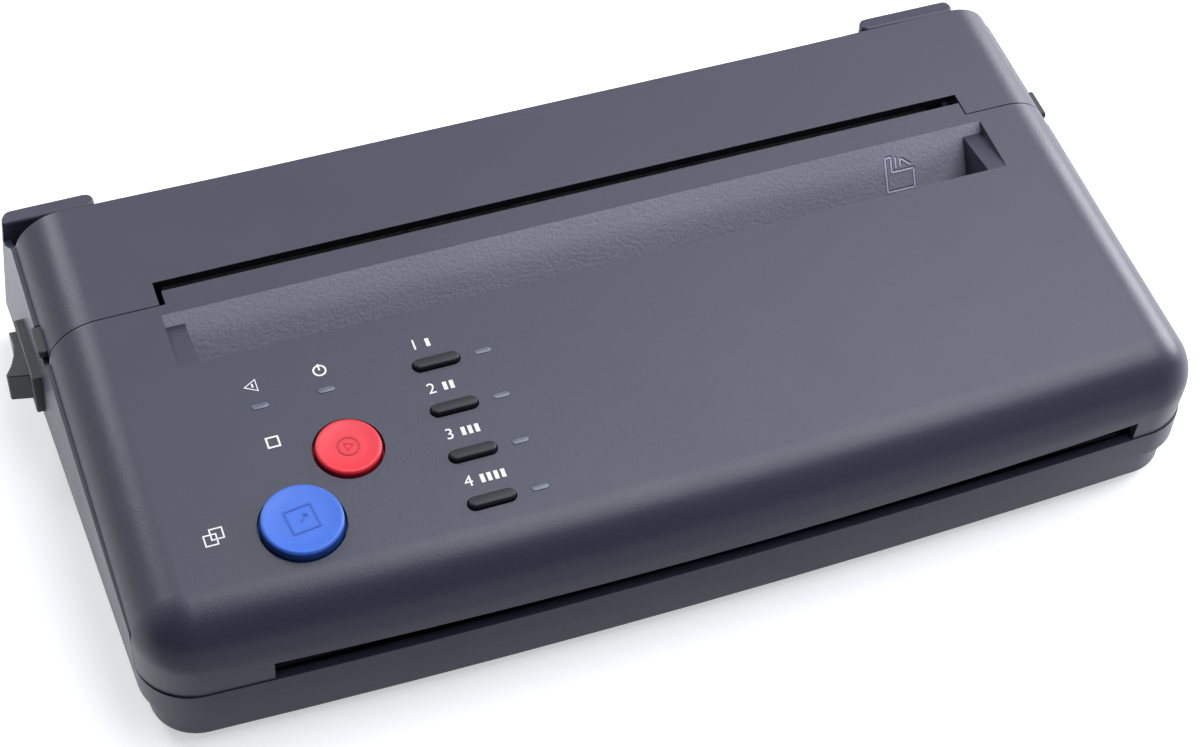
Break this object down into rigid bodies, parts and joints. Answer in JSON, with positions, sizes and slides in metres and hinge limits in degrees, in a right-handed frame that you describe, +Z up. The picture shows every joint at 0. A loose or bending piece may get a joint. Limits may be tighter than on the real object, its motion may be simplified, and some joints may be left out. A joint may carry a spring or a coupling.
{
  "type": "thermal stencil copier",
  "caption": "Low tabletop thermal copier with a hinged front cover, a hinged rear lid, push buttons, a paper recess on top and an exit slot along the front.",
  "frame": {"origin": "on the table, under the middle of the whole machine with its switch", "axes": "+Z up, -Y towards the front where the original comes out, +X to the right seen from the front"},
  "size_m": [0.2853, 0.1506, 0.0539],
  "materials": {
    "shell": "fine satin moulded texture, blue grey black",
    "inner_black": "plain moulded",
    "switch_black": "semi gloss",
    "key_black": "semi gloss",
    "rubber": "dull",
    "steel": "turned",
    "plate_steel": "plated sheet",
    "motor_can": "plated can",
    "gear_nylon": "moulded",
    "roller_white": "smooth",
    "board_green": "lacquered board",
    "chip_black": "moulded",
    "brass_pin": "plated",
    "ceramic_white": "glazed ceramic",
    "head_aluminium": "extruded",
    "window_glass": "clear",
    "lamp_lens": "frosted clear, unlit",
    "red_button": "satin moulded",
    "blue_button": "satin moulded"
  },
  "bodies": {
    "base": {"base_tub": "shell", "rear_block_caps": "shell", "rubber_feet": "rubber", "base_screws": "steel", "side_plate_left": "plate_steel", "side_plate_right": "plate_steel", "shaft_bushings": "gear_nylon", "idler_studs": "steel", "document_deck": "inner_black", "stepper_motor": "motor_can", "main_board": "board_green", "main_board_chips": "chip_black", "power_board": "board_green", "power_board_parts": "chip_black", "power_inlet": "inner_black", "inlet_pins": "brass_pin", "switch_housing": "switch_black", "lid_hinge_pins": "steel"},
    "platen_roller": {"platen_shaft": "steel", "platen_rubber": "rubber", "platen_gear": "gear_nylon"},
    "motor_rotor": {"motor_rotor": "steel"},
    "idler_a": {"idler_gear_a": "gear_nylon"},
    "idler_b": {"idler_gear_b": "gear_nylon"},
    "idler_c": {"idler_gear_c": "gear_nylon"},
    "idler_d": {"idler_gear_d": "gear_nylon"},
    "feed_roller": {"feed_shaft": "steel", "feed_tyres": "rubber", "feed_gear": "gear_nylon"},
    "scan_roller": {"scan_shaft": "steel", "scan_backing_roller": "roller_white", "scan_gear": "gear_nylon"},
    "exit_roller": {"exit_shaft": "steel", "exit_tyres": "rubber", "exit_gear": "gear_nylon"},
    "front_cover": {"front_cover": "shell", "pad_holder": "inner_black", "separation_pad": "rubber", "scan_module": "chip_black", "scan_glass": "window_glass", "panel_board": "board_green", "panel_board_parts": "chip_black", "panel_screws": "steel", "lamp_lenses": "lamp_lens", "button_springs": "steel"},
    "pinch_roller": {"pinch_shaft": "steel", "pinch_tyres": "roller_white"},
    "stop_button": {"stop_button": "red_button"},
    "start_button": {"start_button": "blue_button"},
    "mode_key_1": {"mode_key_1": "key_black"},
    "mode_key_2": {"mode_key_2": "key_black"},
    "mode_key_3": {"mode_key_3": "key_black"},
    "mode_key_4": {"mode_key_4": "key_black"},
    "rear_lid": {"rear_lid": "shell", "head_springs": "steel"},
    "thermal_head": {"head_strip": "ceramic_white", "head_sink": "head_aluminium"},
    "switch_rocker": {"switch_rocker": "switch_black"},
    "latch_left": {"latch_slider_left": "inner_black"},
    "latch_right": {"latch_slider_right": "inner_black"}
  },
  "joints": [
    {"name": "platen_spin", "type": "hinge", "parent": "base", "child": "platen_roller", "pos_m": [0, 0.042, 0.0295], "axis": [1, 0, 0], "continuous": true},
    {"name": "motor_spin", "type": "hinge", "parent": "base", "child": "motor_rotor", "pos_m": [0, 0.021, 0.0195], "axis": [1, 0, 0], "continuous": true},
    {"name": "idler_a_spin", "type": "hinge", "parent": "base", "child": "idler_a", "pos_m": [0, 0.032, 0.0197], "axis": [1, 0, 0], "continuous": true},
    {"name": "idler_b_spin", "type": "hinge", "parent": "base", "child": "idler_b", "pos_m": [0, 0.01032, 0.02215], "axis": [1, 0, 0], "continuous": true},
    {"name": "idler_c_spin", "type": "hinge", "parent": "base", "child": "idler_c", "pos_m": [0, -0.01568, 0.02165], "axis": [1, 0, 0], "continuous": true},
    {"name": "idler_d_spin", "type": "hinge", "parent": "base", "child": "idler_d", "pos_m": [0, -0.043, 0.02307], "axis": [1, 0, 0], "continuous": true},
    {"name": "feed_spin", "type": "hinge", "parent": "base", "child": "feed_roller", "pos_m": [0, -0.002, 0.0155], "axis": [1, 0, 0], "continuous": true},
    {"name": "scan_spin", "type": "hinge", "parent": "base", "child": "scan_roller", "pos_m": [0, -0.028, 0.0175], "axis": [1, 0, 0], "continuous": true},
    {"name": "exit_spin", "type": "hinge", "parent": "base", "child": "exit_roller", "pos_m": [0, -0.058, 0.0175], "axis": [1, 0, 0], "continuous": true},
    {"name": "front_cover_hinge", "type": "hinge", "parent": "base", "child": "front_cover", "pos_m": [0, -0.0748, 0.0209], "axis": [1, 0, 0], "range_deg": [0, 35]},
    {"name": "pinch_spin", "type": "hinge", "parent": "front_cover", "child": "pinch_roller", "pos_m": [0, -0.058, 0.02785], "axis": [1, 0, 0], "continuous": true},
    {"name": "stop_press", "type": "slide", "parent": "front_cover", "child": "stop_button", "axis": [0, 0.0785, -0.9969], "range_m": [0, 0.001], "stiffness_N_per_m": 250, "springref_m": -0.001, "deforming": ["button_springs"]},
    {"name": "start_press", "type": "slide", "parent": "front_cover", "child": "start_button", "axis": [0, 0.0785, -0.9969], "range_m": [0, 0.001], "stiffness_N_per_m": 300, "springref_m": -0.001, "deforming": ["button_springs"]},
    {"name": "mode_1_press", "type": "slide", "parent": "front_cover", "child": "mode_key_1", "axis": [0, 0.0785, -0.9969], "range_m": [0, 0.001], "stiffness_N_per_m": 150, "springref_m": -0.001, "deforming": ["button_springs"]},
    {"name": "mode_2_press", "type": "slide", "parent": "front_cover", "child": "mode_key_2", "axis": [0, 0.0785, -0.9969], "range_m": [0, 0.001], "stiffness_N_per_m": 150, "springref_m": -0.001, "deforming": ["button_springs"]},
    {"name": "mode_3_press", "type": "slide", "parent": "front_cover", "child": "mode_key_3", "axis": [0, 0.0785, -0.9969], "range_m": [0, 0.001], "stiffness_N_per_m": 150, "springref_m": -0.001, "deforming": ["button_springs"]},
    {"name": "mode_4_press", "type": "slide", "parent": "front_cover", "child": "mode_key_4", "axis": [0, 0.0785, -0.9969], "range_m": [0, 0.001], "stiffness_N_per_m": 150, "springref_m": -0.001, "deforming": ["button_springs"]},
    {"name": "rear_lid_hinge", "type": "hinge", "parent": "base", "child": "rear_lid", "pos_m": [0, 0.066, 0.0405], "axis": [1, 0, 0], "range_deg": [-70, 0]},
    {"name": "head_float", "type": "slide", "parent": "rear_lid", "child": "thermal_head", "axis": [0, 0, 1], "range_m": [0, 0.001], "stiffness_N_per_m": 900, "springref_m": -0.002, "deforming": ["head_springs"]},
    {"name": "power_rocker", "type": "hinge", "parent": "base", "child": "switch_rocker", "pos_m": [-0.1338, 0.0394, 0.0215], "axis": [0, 0, 1], "range_deg": [0, 14]},
    {"name": "latch_left_slide", "type": "slide", "parent": "base", "child": "latch_left", "axis": [0, -0.9969, -0.0785], "range_m": [0, 0.0026]},
    {"name": "latch_right_slide", "type": "slide", "parent": "base", "child": "latch_right", "axis": [0, -0.9969, -0.0785], "range_m": [0, 0.0026]}
  ],
  "couplings": [
    {"joint": "motor_spin", "follows": "platen_spin", "ratio": 1.6},
    {"joint": "idler_a_spin", "follows": "platen_spin", "ratio": -1.3333},
    {"joint": "idler_b_spin", "follows": "platen_spin", "ratio": -1.3333},
    {"joint": "feed_spin", "follows": "platen_spin", "ratio": 1},
    {"joint": "idler_c_spin", "follows": "platen_spin", "ratio": -1.1429},
    {"joint": "scan_spin", "follows": "platen_spin", "ratio": 1.3333},
    {"joint": "idler_d_spin", "follows": "platen_spin", "ratio": -0.8},
    {"joint": "exit_spin", "follows": "platen_spin", "ratio": 1.3333},
    {"joint": "pinch_spin", "follows": "platen_spin", "ratio": -2}
  ]
}
